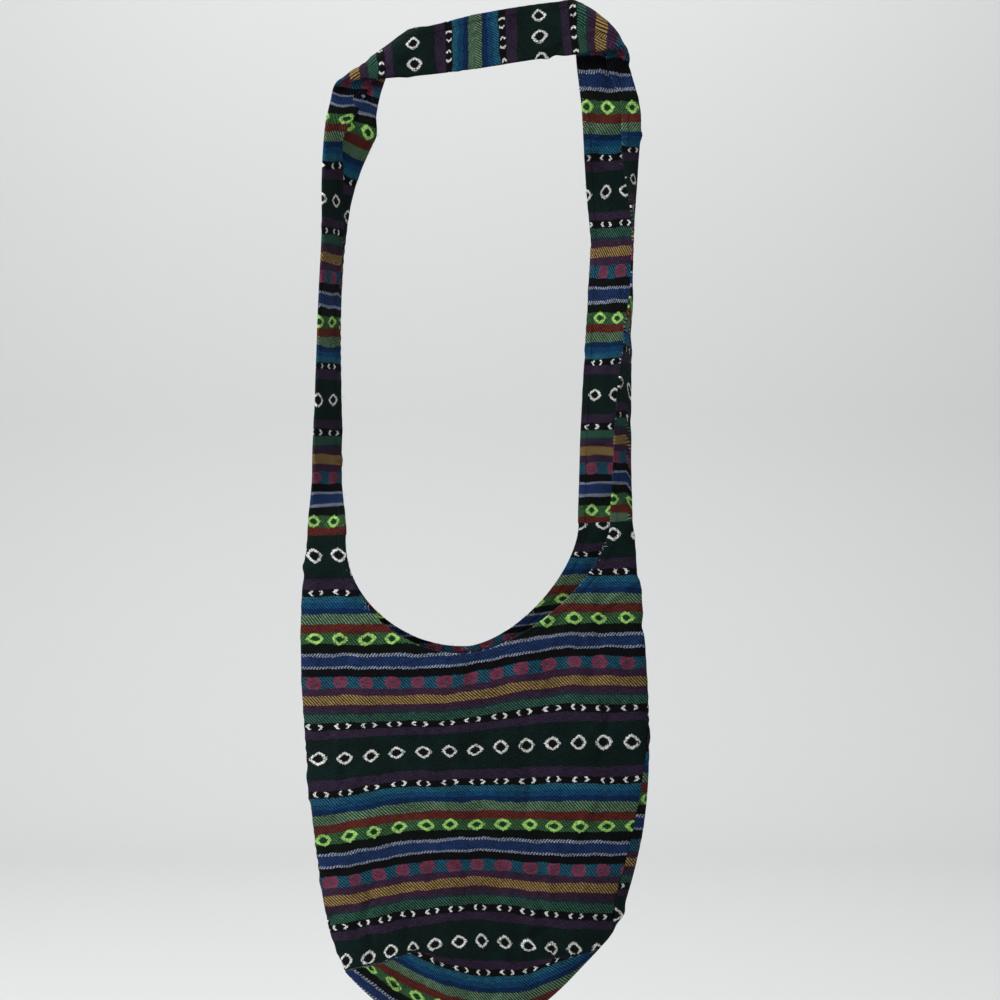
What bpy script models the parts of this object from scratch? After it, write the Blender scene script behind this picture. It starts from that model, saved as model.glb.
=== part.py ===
"""Woven sling bag, hung by its folded strap.

Metres, +Z up, the front faces -Y. The origin is under the middle of the strap's top run,
where the bag hangs. The body is a pair of panels sewn at the sides and the bottom, with a
dart at each lower corner. The strap is one band in two halves, folded lengthwise. It rises
behind the two arms that hold it, folds forward over each of them, and crosses in front.
"""
import math
from typing import NamedTuple

import bmesh
import bpy
import numpy as np

# Overall sizes
BODY_WIDTH = 0.300
BODY_HEIGHT = 0.401
BODY_DEPTH = 0.050
BOTTOM_SAG = 0.065
LEFT_DROP = 0.429
RIGHT_DROP = 0.415
STRAP_WIDTH = 0.072

# Mouth of the bag
NECK_DROP = 0.114
BACK_NECK_RISE = 0.005
NECK_CENTRE_SHARE = -0.03
NECK_SQUARENESS = 1.6
HORN_DEPTH = 0.024

# Cloth and seams
CLOTH_THICKNESS = 0.0012
SEAM_GAP = 0.0003
SEAM_SHIFT = 0.0145
FOLD_RADIUS = 0.0015
HORN_BLEND = 0.060
DART_DEPTH = 0.003
DART_SPREAD = 0.008
DART_ROW_SHARE = 0.955
DART_RISE_SHARE = 0.10
DART_LENGTH_SHARES = {-1: 0.36, 1: 0.22}

# Arms that hold the strap: place across as a share of the half width, height, tilt in degrees
ARM_RADIUS = 0.006
LEFT_ARM_SHARE = -0.693
LEFT_ARM_HEIGHT = 0.006
LEFT_ARM_TILT = 35.5
RIGHT_ARM_SHARE = 0.760
RIGHT_ARM_HEIGHT = 0.041
RIGHT_ARM_TILT = -41.6
LEFT_CORNER_BULGE = 0.0
RIGHT_CORNER_BULGE = 0.008
CORNER_HALF = 0.036
CORNER_REACH = 0.014

# The front leaf turns back with the back leaf on the left and away from it on the right
FRONT_LEAF_TURNS = {-1: -1, 1: 1}

# Outline of the two sides: rows from the horns at 0 to the bottom at 1, and half widths there
LEFT_ROW_SHARES = (0, 0.19, 0.375, 0.63, 0.815, 0.90, 1)
LEFT_WIDTH_SHARES = (1.025, 1.065, 1.053, 1.0, 0.935, 0.893, 0.79)
RIGHT_ROW_SHARES = (0, 0.22, 0.42, 0.62, 0.74, 0.89, 0.94, 1)
RIGHT_WIDTH_SHARES = (0.963, 1.024, 1.061, 1.055, 1.012, 0.905, 0.85, 0.70)

# Right side seam: rows, and how far in front of the edge it runs there, in radians
SEAM_ROW_SHARES = (0.36, 0.72, 0.86, 1)
SEAM_LEAD_ANGLES = (0.0, 0.40, 0.42, 0.10)

# How far down the body is deepest and starts to close, as shares of its height
DEEPEST_SHARE = 0.45
CLOSING_SHARE = 0.55

# Soft folds of the hanging body: place as a share of the half width, share of the height, spread
DRAPE_TOP_SHARE = 0.30
DRAPE_BOTTOM_SHARE = 0.84
DRAPE_HEIGHT = 0.0022
FRONT_DRAPE_SHARES = ((-0.66, 0.9, 0.17), (-0.22, 1.0, 0.18), (0.24, -0.8, 0.20), (0.66, 0.7, 0.17))
BACK_DRAPE_SHARES = ((-0.45, 0.8, 0.22), (0.0, -0.8, 0.22), (0.45, 0.9, 0.22))

# Number of rows and columns of the cloth surfaces
NECK_ROWS = 9
BODY_ROWS = 17
HORN_COLUMNS = 12
LEAF_COLUMNS = 7
RISING_ROWS = 40
BEND_ROWS = 7
CROSSING_ROWS = 10

# Step of the angles and places from which slopes are taken
STEP_ANGLE = 1e-4
SAMPLES = 600

HALF = BODY_WIDTH / 2
QUARTER_TURN = math.pi / 2


class Station(NamedTuple):
    """Cross-section of the folded strap, as seen from the front.

    Places are in half widths of the body and in drops of the strap, other sizes in strap
    widths. The reach of the front leaf is None where the fold is pressed flat.
    """
    across: float
    height: float
    hem_across: float
    hem_height: float
    front_share: float
    front_reach: float = None
    depth: float = 0.0


LEFT_STATIONS = (
    Station(-0.995, -0.816, 0.345, 0.0, 0.48, 0.330, -0.014),
    Station(-0.980, -0.709, 0.310, 0.0, 0.46, 0.290, -0.014),
    Station(-0.960, -0.494, 0.262, 0.0, 0.44, 0.205, 0.0),
    Station(-0.940, -0.343, 0.285, -0.028, 0.42, 0.215, 0.028),
    Station(-0.940, -0.219, 0.405, -0.110, 0.36, 0.260, 0.069),
    Station(-0.920, -0.121, 0.590, -0.181, 0.42, 0.420),
    Station(-0.340, -0.014, -0.028, 0.542, 0.40),
    Station(0.0, 0.0, 0.0, 0.690, 0.31),
)
RIGHT_STATIONS = (
    Station(0.957, -0.843, -0.646, 0.0, 0.33, 0.236),
    Station(0.957, -0.733, -0.613, 0.0, 0.35, 0.194, 0.014),
    Station(0.963, -0.511, -0.549, 0.0, 0.37, 0.056, 0.028),
    Station(0.975, -0.354, -0.538, 0.0, 0.36, 0.028, 0.056),
    Station(1.000, -0.217, -0.639, -0.056, 0.34, 0.194, 0.069),
    Station(1.013, -0.084, -0.757, 0.0, 0.31, 0.278),
    Station(0.950, 0.013, -0.625, 0.076, 0.31, 0.306),
    Station(0.429, 0.024, -0.051, 0.704, 0.31),
    Station(0.0, 0.0, 0.0, 0.690, 0.31),
)


def clear_scene():
    for item in list(bpy.data.objects):
        bpy.data.objects.remove(item, do_unlink=True)


def smooth(value):
    """Soft step from 0 to 1."""
    value = np.clip(value, 0.0, 1.0)
    return value * value * (3 - 2 * value)


def curve(knots, values, at):
    """Smooth curve through the values, at any place between the knots."""
    knots = np.asarray(knots, float)
    values = np.asarray(values, float)
    at = np.asarray(at, float)
    step = np.diff(knots)
    slope = np.diff(values) / step
    tangent = np.concatenate([slope[:1], slope, slope[-1:]])
    tangent = (tangent[:-1] + tangent[1:]) / 2
    place = np.clip(np.searchsorted(knots, at, side="right") - 1, 0, len(knots) - 2)
    t = (at - knots[place]) / step[place]
    start = (2 * t ** 3 - 3 * t ** 2 + 1) * values[place]
    leave = (t ** 3 - 2 * t ** 2 + t) * step[place] * tangent[place]
    end = (3 * t ** 2 - 2 * t ** 3) * values[place + 1]
    arrive = (t ** 3 - t ** 2) * step[place] * tangent[place + 1]
    return start + leave + end + arrive


def body_side(v, sign):
    """Outline of one side of the body, from the horn to the corner of the bottom."""
    if sign < 0:
        return -curve(LEFT_ROW_SHARES, LEFT_WIDTH_SHARES, v) * HALF, -LEFT_DROP - v * BODY_HEIGHT
    return curve(RIGHT_ROW_SHARES, RIGHT_WIDTH_SHARES, v) * HALF, -RIGHT_DROP - v * BODY_HEIGHT


def dart(across, v, side):
    """Share of the depth that is taken in along the dart at one corner of the bottom."""
    along = (1 - side * across) / (2 * DART_LENGTH_SHARES[side])
    away = (v - DART_ROW_SHARE + DART_RISE_SHARE * along) * BODY_HEIGHT
    fade = np.clip(1 - along, 0, 1) * (along >= 0)
    return DART_DEPTH / (BODY_DEPTH / 4) * fade * np.exp(-(away / DART_SPREAD) ** 2)


def drape(across, v, face):
    """Height of the soft folds on one panel, which fade towards the mouth, sides and bottom."""
    folds = FRONT_DRAPE_SHARES if face > 0 else BACK_DRAPE_SHARES
    lift = sum(share * np.exp(-((across - place) / spread) ** 2) for place, share, spread in folds)
    rows = smooth((v - DRAPE_TOP_SHARE) / 0.2) * (1 - smooth((v - DRAPE_BOTTOM_SHARE) / 0.12))
    return DRAPE_HEIGHT * lift * rows * smooth((1 - across ** 2) / 0.4)


def body_point(phi, v, face=0):
    """Middle of the cloth. Phi runs round the body, from the left over the front to the right."""
    across = np.sin(phi)
    share = (across + 1) / 2
    left_x, left_z = body_side(v, -1)
    right_x, right_z = body_side(v, 1)
    x = left_x + (right_x - left_x) * share
    z = left_z + (right_z - left_z) * share - BOTTOM_SAG * v * (1 - across ** 2)
    closing = np.sqrt(np.clip(1 - np.clip((v - CLOSING_SHARE) / (1 - CLOSING_SHARE), 0, 1) ** 2, 0, 1))
    depth = (HORN_DEPTH + (BODY_DEPTH - HORN_DEPTH) * smooth(v / DEEPEST_SHARE)) / 2 * closing
    corner = smooth((v - 0.84) / 0.12) * smooth((np.abs(across) - 0.70) / 0.25)
    apart = SEAM_GAP / 2 * smooth((v - 0.8) / 0.2) + corner * CLOTH_THICKNESS / 2
    pinch = np.minimum(dart(across, v, -1) + dart(across, v, 1), 0.6)
    y = -np.cos(phi) * depth * (1 - pinch) - face * (apart + drape(across, v, face))
    return np.stack([x, y, z], -1)


def turn_at(length, start, direction, v):
    """Angle round the body at a given cloth length from a start angle."""
    angles = start + direction * np.linspace(0, QUARTER_TURN * 1.6, SAMPLES)
    points = body_point(angles, np.full(SAMPLES, v))
    run = np.concatenate([[0], np.cumsum(np.linalg.norm(np.diff(points, axis=0), axis=1))])
    return np.interp(length, run, angles)


def left_seam(face):
    """Angle of the left side seam, as each panel counts it."""
    return -QUARTER_TURN if face > 0 else 1.5 * math.pi


def right_seam(v):
    """Angle of the right side seam: behind the edge at the horn, in front of it lower down."""
    top = turn_at(SEAM_SHIFT, QUARTER_TURN, 1, 0.0) - QUARTER_TURN
    lead = curve((0, *SEAM_ROW_SHARES), (-top, *SEAM_LEAD_ANGLES), v)
    return QUARTER_TURN - lead


def neck_edges(face, angle):
    """Row and both edge angles of the mouth; angle runs from the horns to the middle."""
    drop = NECK_DROP - (0 if face > 0 else BACK_NECK_RISE)
    v = drop / (BODY_HEIGHT + BOTTOM_SAG) * math.sin(angle)
    tops = (
        turn_at(STRAP_WIDTH / 2, -QUARTER_TURN, face, 0.0),
        turn_at(STRAP_WIDTH / 2, float(right_seam(0.0)), -face, 0.0),
    )
    spreads = (
        abs(math.cos(angle)),
        (1 - math.sin(angle) ** NECK_SQUARENESS) ** (1 / NECK_SQUARENESS),
    )
    edges = []
    for top, spread in zip(tops, spreads):
        turn = math.asin(NECK_CENTRE_SHARE + (math.sin(top) - NECK_CENTRE_SHARE) * spread)
        edges.append(turn if face > 0 else math.pi - turn)
    return v, *edges


def edge_turn(phi, v, direction):
    """Angle of a panel's edge, moved off the seam by half of the gap."""
    ends = body_point(np.array([phi - STEP_ANGLE, phi + STEP_ANGLE]), np.full(2, min(v, 0.97)))
    speed = np.linalg.norm(ends[1] - ends[0]) / (2 * STEP_ANGLE)
    return phi + direction * SEAM_GAP / 2 / speed


def panel_grid(face):
    """Row and angles of each row of one panel, with the mouth left open between the horns."""
    rows = [neck_edges(face, QUARTER_TURN * step / (NECK_ROWS - 1)) for step in range(NECK_ROWS)]
    deep, middle, _ = rows[-1]
    for step in range(1, BODY_ROWS):
        share = math.sin(QUARTER_TURN * step / (BODY_ROWS - 1)) ** 0.9
        rows.append((deep + (1 - deep) * share, middle, middle))
    grid = []
    for v, left, right in rows:
        start = edge_turn(left_seam(face), v, face)
        end = edge_turn(float(right_seam(v)), v, -face)
        first = np.linspace(start, left, HORN_COLUMNS)
        second = np.linspace(right, end, HORN_COLUMNS)
        grid.append((v, first, second))
    return grid


def collect_faces(blocks):
    """Places and four-sided faces of the blocks, with shared places counted once."""
    lookup = {}
    faces = []
    for block in blocks:
        ids = []
        for row in block:
            keys = [(round(float(a), 7), round(float(b), 7)) for a, b in row]
            ids.append([lookup.setdefault(key, len(lookup)) for key in keys])
        for low, high in zip(ids[:-1], ids[1:]):
            for left in range(len(low) - 1):
                corners = (low[left], low[left + 1], high[left + 1], high[left])
                ring = tuple(dict.fromkeys(corners))
                if len(ring) > 2:
                    faces.append(ring)
    return np.array(list(lookup)), faces


def rim_edges(faces):
    """Edges that only one face has."""
    edges = {pair for ring in faces for pair in zip(ring, ring[1:] + ring[:1])}
    return [(one, two) for one, two in sorted(edges) if (two, one) not in edges]


def face_outward(mesh):
    body = bmesh.new()
    body.from_mesh(mesh)
    bmesh.ops.recalc_face_normals(body, faces=body.faces)
    if body.calc_volume(signed=True) < 0:
        bmesh.ops.reverse_faces(body, faces=body.faces)
    body.to_mesh(mesh)
    body.free()


def build_sheet(name, blocks, surface):
    """Closed body of one cloth from blocks of (a, b) places on its middle surface."""
    places, faces = collect_faces(blocks)
    a, b = places.T
    point = surface(a, b)
    along_a = surface(a + STEP_ANGLE, b) - surface(a - STEP_ANGLE, b)
    along_b = surface(a, np.clip(b + STEP_ANGLE, 0, 1)) - surface(a, np.clip(b - STEP_ANGLE, 0, 1))
    normal = np.cross(along_a, along_b)
    normal /= np.maximum(np.linalg.norm(normal, axis=1), 1e-15)[:, None]
    lift = normal * CLOTH_THICKNESS / 2
    count = len(places)
    back_faces = [tuple(corner + count for corner in reversed(ring)) for ring in faces]
    side_faces = [(two, one, one + count, two + count) for one, two in rim_edges(faces)]
    corners = np.concatenate([point + lift, point - lift])
    mesh = bpy.data.meshes.new(name)
    mesh.from_pydata(corners.tolist(), [], faces + back_faces + side_faces)
    face_outward(mesh)
    mesh.shade_smooth()
    item = bpy.data.objects.new(name, mesh)
    bpy.context.collection.objects.link(item)
    return item


def build_panel(name, face):
    grid = panel_grid(face)
    horns = grid[:NECK_ROWS]
    body = grid[NECK_ROWS - 1:]
    blocks = [
        [[(phi, v) for phi in first] for v, first, second in horns],
        [[(phi, v) for phi in second] for v, first, second in horns],
        [[(phi, v) for phi in [*first, *second[1:]]] for v, first, second in body],
    ]
    return build_sheet(name, blocks, lambda phi, v: body_point(phi, v, face))


class Arm:
    """Fold of the flat strap over one of the arms that hold it."""

    def __init__(self, across, height, tilt, bulge):
        tilt = math.radians(tilt)
        self.bulge = bulge
        self.along = np.array([math.cos(tilt), math.sin(tilt)])
        self.out = np.array([-math.sin(tilt), math.cos(tilt)])
        self.centre = np.array([across * HALF, height]) - self.out * (ARM_RADIUS + 2 * FOLD_RADIUS)

    def unfold(self, point):
        """Place on the flat strap of a point that lies in front of the arm."""
        offset = point - self.centre
        back = math.pi * ARM_RADIUS - offset @ self.out
        return self.centre + self.along * (offset @ self.along) + self.out * back

    def fold(self, point, lift):
        """Place in space of a point of the flat strap, lifted off the arm by some distance."""
        offset = point - self.centre
        slide = offset @ self.along
        run = offset @ self.out
        turn = np.clip(run / ARM_RADIUS, 0, math.pi)
        radius = ARM_RADIUS + lift
        past = run - math.pi * ARM_RADIUS
        reach = np.where(run <= 0, run, np.where(past >= 0, -past, radius * np.sin(turn)))
        near = np.exp(-((run - QUARTER_TURN * ARM_RADIUS) / CORNER_REACH) ** 2)
        reach = reach + self.bulge * near * np.clip(1 - (slide / CORNER_HALF) ** 2, 0, 1)
        flat = self.centre + slide[:, None] * self.along + reach[:, None] * self.out
        return np.stack([flat[:, 0], radius * np.cos(turn), flat[:, 1]], -1)


def horn_section(side, across):
    """Top of the two horns on one side, from the hem of the front to the hem of the back."""
    seam = -QUARTER_TURN if side < 0 else float(right_seam(0.0))
    from_seam = (0.5 - across) * STRAP_WIDTH
    front = turn_at(np.clip(from_seam, 0, None), seam, -side, 0.0)
    back = turn_at(np.clip(-from_seam, 0, None), seam, side, 0.0)
    phi = np.where(from_seam >= 0, front, back)
    return body_point(phi, np.zeros_like(phi))


def lean(reach, leaf):
    """Angle at which a leaf stands off the flat when its hem lies only so far out."""
    return math.acos(min(reach / leaf, 1.0))


class Strap:
    """Middle surface of one half of the strap, across it and along it from 0 to 1."""

    def __init__(self, side, drop, stations, arm, front_turn):
        self.side = side
        self.arm = arm
        edges = [np.array([s.across * HALF, s.height * drop]) for s in stations]
        offsets = [np.array([s.hem_across, s.hem_height]) * STRAP_WIDTH for s in stations]
        hems = [edge + offset for edge, offset in zip(edges, offsets)]
        pressed = [s.front_reach is None for s in stations]
        edges = [arm.unfold(place) if flat else place for place, flat in zip(edges, pressed)]
        hems = [arm.unfold(place) if flat else place for place, flat in zip(hems, pressed)]
        middles = [(edge + hem) / 2 for edge, hem in zip(edges, hems)]
        steps = [np.linalg.norm(two - one) for one, two in zip(middles[:-1], middles[1:])]
        first = middles[0][1] + drop
        self.length = first + sum(steps)
        self.knots = np.concatenate([[0], np.cumsum([first, *steps])]) / self.length
        foot = np.array([0.0, -drop])
        self.edges = np.array([edges[0] * (1, 0) + foot, *edges])
        self.hems = np.array([hems[0] * (1, 0) + foot, *hems])
        opened = [stations[0], *stations]
        self.shares = [s.front_share for s in opened]
        self.depths = [s.depth * STRAP_WIDTH for s in opened]
        self.front_leans = []
        self.back_leans = []
        for s in opened:
            width = math.hypot(s.hem_across, s.hem_height)
            flat = s.front_reach is None
            self.front_leans.append(0.0 if flat else front_turn * lean(s.front_reach, s.front_share))
            self.back_leans.append(0.0 if flat else lean(width, 1 - s.front_share))
        last_open = pressed.index(True)
        self.press_from, self.press_to = self.knots[last_open - 1], self.knots[last_open]

    def middle_line(self, along):
        """Place of the fold, the direction from it to the hem, and the front leaf's share."""
        edge = np.stack([curve(self.knots, track, along) for track in self.edges.T], -1)
        hem = np.stack([curve(self.knots, track, along) for track in self.hems.T], -1)
        inward = hem - edge
        inward /= np.linalg.norm(inward, axis=1)[:, None]
        return edge, inward, curve(self.knots, self.shares, along)

    def flat_run(self, across, along):
        """How far a place on the flat strap lies past the line where it meets the arm."""
        edge, inward, share = self.middle_line(along)
        reach = np.abs(across - share) * STRAP_WIDTH
        return (edge + inward * reach[:, None] - self.arm.centre) @ self.arm.out

    def bend(self, across):
        """Where along the strap the bend over the arm starts and ends."""
        search = np.linspace(0.6, 1, SAMPLES)
        run = self.flat_run(np.full(SAMPLES, across), search)
        return np.interp([0, math.pi * ARM_RADIUS], run, search)

    def section(self, across, share, front, back):
        """Folded cross-section: distance from the fold and height off the flat."""
        bend = math.pi - front - back
        leaf = share * STRAP_WIDTH - FOLD_RADIUS * bend / 2
        run = across * STRAP_WIDTH - leaf
        turn = math.pi - front - np.clip(run / FOLD_RADIUS, 0, bend)
        on_front = np.clip(-run, 0, None)
        on_back = np.clip(run - FOLD_RADIUS * bend, 0, None)
        out = FOLD_RADIUS * (1 - np.sin(turn)) + on_front * np.cos(front) + on_back * np.cos(back)
        lift = FOLD_RADIUS * (1 + np.cos(turn)) - on_front * np.sin(front) + on_back * np.sin(back)
        return out, lift

    def surface(self, across, along):
        along = np.clip(along, 0, 1)
        edge, inward, share = self.middle_line(along)
        loose = 1 - smooth((along - self.press_from) / (self.press_to - self.press_from))
        front = np.clip(curve(self.knots, self.front_leans, along), -1.5, 1.5) * loose
        back = np.clip(curve(self.knots, self.back_leans, along), 0, 1.5) * loose
        out, lift = self.section(across, share, front, back)
        pressed = self.arm.fold(edge + inward * out[:, None], lift)
        hanging = np.stack([pressed[:, 0], curve(self.knots, self.depths, along) + lift, pressed[:, 2]], -1)
        point = pressed + (hanging - pressed) * loose[:, None]
        rise = along * self.length
        start = horn_section(self.side, across)
        start[:, 2] += rise + SEAM_GAP
        point = start + (point - start) * smooth(rise / HORN_BLEND)[:, None]
        point[:, 0] += self.side * SEAM_GAP / 2 * smooth((along - 0.97) / 0.03)
        return point


def build_strap(name, side):
    """One half of the strap, with its rows laid along the bend over the arm."""
    if side < 0:
        arm = Arm(LEFT_ARM_SHARE, LEFT_ARM_HEIGHT, LEFT_ARM_TILT, LEFT_CORNER_BULGE)
        strap = Strap(side, LEFT_DROP, LEFT_STATIONS, arm, FRONT_LEAF_TURNS[side])
    else:
        arm = Arm(RIGHT_ARM_SHARE, RIGHT_ARM_HEIGHT, RIGHT_ARM_TILT, RIGHT_CORNER_BULGE)
        strap = Strap(side, RIGHT_DROP, RIGHT_STATIONS, arm, FRONT_LEAF_TURNS[side])
    share = float(np.mean(strap.shares[:-2]))
    columns = [*np.linspace(0, share, LEAF_COLUMNS), *np.linspace(share, 1, LEAF_COLUMNS)[1:]]
    lines = []
    for across in columns:
        start, end = strap.bend(across)
        bend = np.linspace(start, end, BEND_ROWS)
        crossing = np.linspace(end, 1, CROSSING_ROWS)
        lines.append([*np.linspace(0, start, RISING_ROWS), *bend[1:], *crossing[1:]])
    block = [[(across, along) for across, along in zip(columns, row)] for row in zip(*lines)]
    return build_sheet(name, [block], strap.surface)


def cloth_material(name, colour, roughness):
    material = bpy.data.materials.new(name)
    material.use_nodes = True
    shader = material.node_tree.nodes["Principled BSDF"]
    shader.inputs["Base Color"].default_value = (*colour, 1.0)
    shader.inputs["Roughness"].default_value = roughness
    shader.inputs["Metallic"].default_value = 0.0
    material.diffuse_color = (*colour, 1.0)
    return material


def main():
    clear_scene()
    front = build_panel("front_panel", 1)
    front.data.materials.append(cloth_material("front_cloth", (0.032, 0.045, 0.055), 0.85))
    back = build_panel("back_panel", -1)
    back.data.materials.append(cloth_material("back_cloth", (0.030, 0.042, 0.052), 0.86))
    left = build_strap("strap_left", -1)
    left.data.materials.append(cloth_material("strap_cloth_left", (0.040, 0.050, 0.058), 0.85))
    right = build_strap("strap_right", 1)
    right.data.materials.append(cloth_material("strap_cloth_right", (0.038, 0.048, 0.056), 0.85))


main()
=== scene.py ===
"""Looks of the woven sling bag: striped cloth panels, folded strap, hems, stitches and loose fibres."""

import math
import random
from typing import NamedTuple

import bpy
import numpy as np
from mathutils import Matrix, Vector


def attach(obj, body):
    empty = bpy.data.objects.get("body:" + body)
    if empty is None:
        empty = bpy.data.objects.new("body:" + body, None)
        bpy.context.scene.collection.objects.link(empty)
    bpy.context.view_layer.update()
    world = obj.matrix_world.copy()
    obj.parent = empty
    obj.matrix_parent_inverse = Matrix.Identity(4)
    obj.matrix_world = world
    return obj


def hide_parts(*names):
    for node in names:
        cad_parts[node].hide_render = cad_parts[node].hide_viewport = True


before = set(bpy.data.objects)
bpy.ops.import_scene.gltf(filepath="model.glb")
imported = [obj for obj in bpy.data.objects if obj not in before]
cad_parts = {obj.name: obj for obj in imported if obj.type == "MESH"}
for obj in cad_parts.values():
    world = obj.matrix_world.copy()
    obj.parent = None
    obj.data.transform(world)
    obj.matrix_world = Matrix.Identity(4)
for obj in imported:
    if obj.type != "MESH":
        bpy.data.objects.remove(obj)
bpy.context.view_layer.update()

# One pixel of the photograph, on the plane of the bag, and the pixel of the origin
PIXEL = 0.00092
ORIGIN_X = 475.0
ORIGIN_Y = 70.0

# Camera, in metres; the picture's width is that on the plane of the bag
CAMERA_X = 0.023
CAMERA_Z = -0.3956
CAMERA_DISTANCE = 2.2
PICTURE_WIDTH = 0.92

# Weave: one repeat of the bands and one motif across, in pixels of the photograph
REPEAT = 208.0
MOTIF = 26.2

# Bands of the front panel, in pixels: start and length of each change, sizes, centres
FIRST_BAND_Y = 571.5
SAG_PASSES = 8
SAG_CHANGE = (80, 170)
UPPER_SAG = 21.0
UPPER_SLOPE = (425, 155)
LOWER_SAG = 14.0
LOWER_SLOPE = (315, 105)
ARCH_RISE = 10.0
ARCH_CHANGE = (200, 180)
ARCH_CENTRE = 478
ARCH_SPREAD = 56
SMILE_CENTRE = 500
SMILE_BOWS = (0.0029, 0.0043)
SMILE_BAND = 416
SMILE_RATE = 1.08
SMILE_Y = 973
LEFT_DART = ((300, 975), (346, 970), (380, 962), (415, 951), (435, 952))
RIGHT_DART = ((552, 956), (566, 957), (585, 953), (640, 940))
MIDDLE_DART_Y = 958
LEFT_DART_END = (415, 40)
RIGHT_DART_START = (535, 25)
DART_EDGES = (24.0, 1.6)
MOTIF_CENTRES = ((540, 463), (585, 469.6), (670, 470), (743, 474.5), (912, 480), (1000, 486))
MOTIF_PITCHES = ((540, 25), (585, 25.6), (670, 26), (743, 26.2), (836, 25.6), (912, 24), (941, 22.9))

# Back panel: how much higher its bands lie than those of the front, by pixel row
BACK_RISE = ((525, 10), (555, 18), (600, 20), (640, 33), (870, 27), (910, 36), (1000, 40))
BACK_SHIFT = 0.4

# Strap halves: pixel row of the seam, bands up the rise, bands by pixel column of the top run,
# and the place of the first motif across the strap
STRAP_BANDS = {
    -1: (
        536,
        ((536, 33), (432, 136.3), (331.5, 244.2), (230, 344.3), (167, 416), (121, 462.6)),
        ((354.5, 525), (413, 587), (475, 653)),
        ((0.0, 0.14), (0.6, 0.14), (0.8, 0.007), (1.0, 0.007)),
    ),
    1: (
        521,
        ((521, 34), (425.7, 136.3), (327, 244.2), (221.3, 344.3), (154.9, 416), (80.5, 484.6)),
        ((596, 525), (574, 552.3), (540, 587), (475, 653)),
        ((0.0, 0.018), (0.25, 0.018), (0.55, -0.08), (0.715, -0.128), (0.8, 0.018), (1.0, 0.018)),
    ),
}
STRAP_MOTIF = 0.273

# How far the bands of one leaf lie off those of the other, in pixels by length from the seam
RIGHT_LEAF_RISE = ((330, -12), (390, 0))
LEFT_LEAF_RISE = ((239, 0), (271, 7), (296, 12), (331, 12.5), (364, 6), (416, 0))
LEFT_LEAF_FALL = ((296, 0), (364, 4), (416, 6))

# Where across the strap these changes start, and how long they take
RIGHT_LEAF_CHANGE = (0.2, 0.15)
LEFT_LEAF_CHANGE = (0.45, 0.08)
LEFT_HEM_CHANGE = (0, 0.3)

# Overall sizes; where a size differs from side to side, -1 is the left side and 1 the right
BODY_WIDTH = 0.300
BODY_HEIGHT = 0.401
BODY_DEPTH = 0.050
BOTTOM_SAG = 0.065
DROPS = {-1: 0.429, 1: 0.415}
STRAP_WIDTH = 0.072
HALF = BODY_WIDTH / 2
QUARTER = math.pi / 2

# Flat cuts of the cloth: lengths of the strap, sizes of a panel, areas of the panels
STRAP_CUTS = {-1: 0.575, 1: 0.605}
PANEL_CUT = (0.345, 0.50)
FRONT_CUT_AREA = 0.116
BACK_CUT_AREA = 0.118

# Mouth of the bag
NECK_DROP = 0.114
BACK_NECK_RISE = 0.005
NECK_CENTRE = -0.03
SQUARENESS = 1.6
HORN_DEPTH = 0.024

# Cloth and seams
CLOTH_THICKNESS = 0.0012
SEAM_GAP = 0.0003
SEAM_SHIFT = 0.0145
FOLD_RADIUS = 0.0015
HORN_BLEND = 0.060
DART_DEPTH = 0.003
DART_SPREAD = 0.008
DART_ROW = 0.955
DART_RISE = 0.10
DART_LENGTHS = {-1: 0.36, 1: 0.22}
MOST_PINCH = 0.6

# Where the panels part for the seam, by rows, and for the corners, by rows and places across
SEAM_ROWS = (0.8, 0.2)
CORNER_ROWS = (0.84, 0.12)
CORNER_ACROSS = (0.70, 0.25)

# Arms that hold the strap: place across in half widths, height, tilt in degrees, corner's bulge
ARM_RADIUS = 0.006
ARMS = {-1: (-0.693, 0.006, 35.5, 0.0), 1: (0.760, 0.041, -41.6, 0.008)}
CORNER_HALF = 0.036
CORNER_REACH = 0.014

# Outline of the two sides: rows from the horns at 0 to the bottom at 1, and half widths there
OUTLINES = {
    -1: ((0, 0.19, 0.375, 0.63, 0.815, 0.90, 1), (1.025, 1.065, 1.053, 1.0, 0.935, 0.893, 0.79)),
    1: ((0, 0.22, 0.42, 0.62, 0.74, 0.89, 0.94, 1), (0.963, 1.024, 1.061, 1.055, 1.012, 0.905, 0.85, 0.70)),
}

# Right side seam: rows, and how far in front of the edge it runs there, in radians
LEAD_ROWS = (0.36, 0.72, 0.86, 1)
LEAD_ANGLES = (0.0, 0.40, 0.42, 0.10)

# How far down the body is deepest and starts to close, as shares of its height
DEEPEST = 0.45
CLOSING = 0.55

# Soft folds: rows where they start and end, and place across, share of height and spread of each
DRAPE_START = (0.30, 0.2)
DRAPE_END = (0.84, 0.12)
DRAPE_SIDE_FADE = 0.4
DRAPE_HEIGHT = 0.0022
FRONT_DRAPES = ((-0.66, 0.9, 0.17), (-0.22, 1.0, 0.18), (0.24, -0.8, 0.20), (0.66, 0.7, 0.17))
BACK_DRAPES = ((-0.45, 0.8, 0.22), (0.0, -0.8, 0.22), (0.45, 0.9, 0.22))

# Step from which slopes are taken, lowest row for it, and where places are searched for
STEP_ANGLE = 1e-4
LOWEST_ROW = 0.97
SAMPLES = 600
SEARCH_TURN = QUARTER * 1.6
BEND_FROM = 0.6

# Least length to divide by
LEAST = 1e-15

# Fine cloth surfaces
CLOTH = 0.0010
HEM_WIDTH = 0.0065
HEM_STEP = 0.0016
HEM_EXTRA = 0.0009
RIM_REACH = 0.7
MOST_LEAN = 1.5
JOIN_STRETCH = (0.97, 0.03)
CENTIMETRES = 100

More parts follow.
